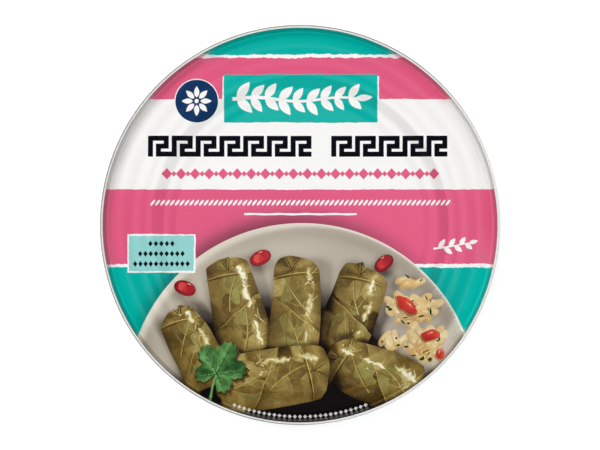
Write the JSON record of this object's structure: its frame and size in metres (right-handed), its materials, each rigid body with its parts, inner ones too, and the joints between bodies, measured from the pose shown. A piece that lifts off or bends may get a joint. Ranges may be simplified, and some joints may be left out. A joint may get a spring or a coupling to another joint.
{
  "type": "round food tin",
  "caption": "Low round shut food tin with a printed top, rolled rims and rings pressed in both ends.",
  "frame": {"origin": "centre of the circle that the tin stands on, at the crown of the base's seam", "axes": "+Z up along the tin's axis, out of the printed end; the print reads upright with +Y up"},
  "size_m": [0.103, 0.103, 0.046],
  "materials": {
    "lid_print": "glossy lacquered print in fields of pink, white, teal and green on tinplate",
    "wall_print": "glossy lacquered print in bands of teal, pink and white on tinplate",
    "base_tin": "clear-lacquered satin tinplate"
  },
  "bodies": {
    "root": {"lid_end": "lid_print", "can_wall": "wall_print", "base_end": "base_tin"}
  },
  "joints": []
}
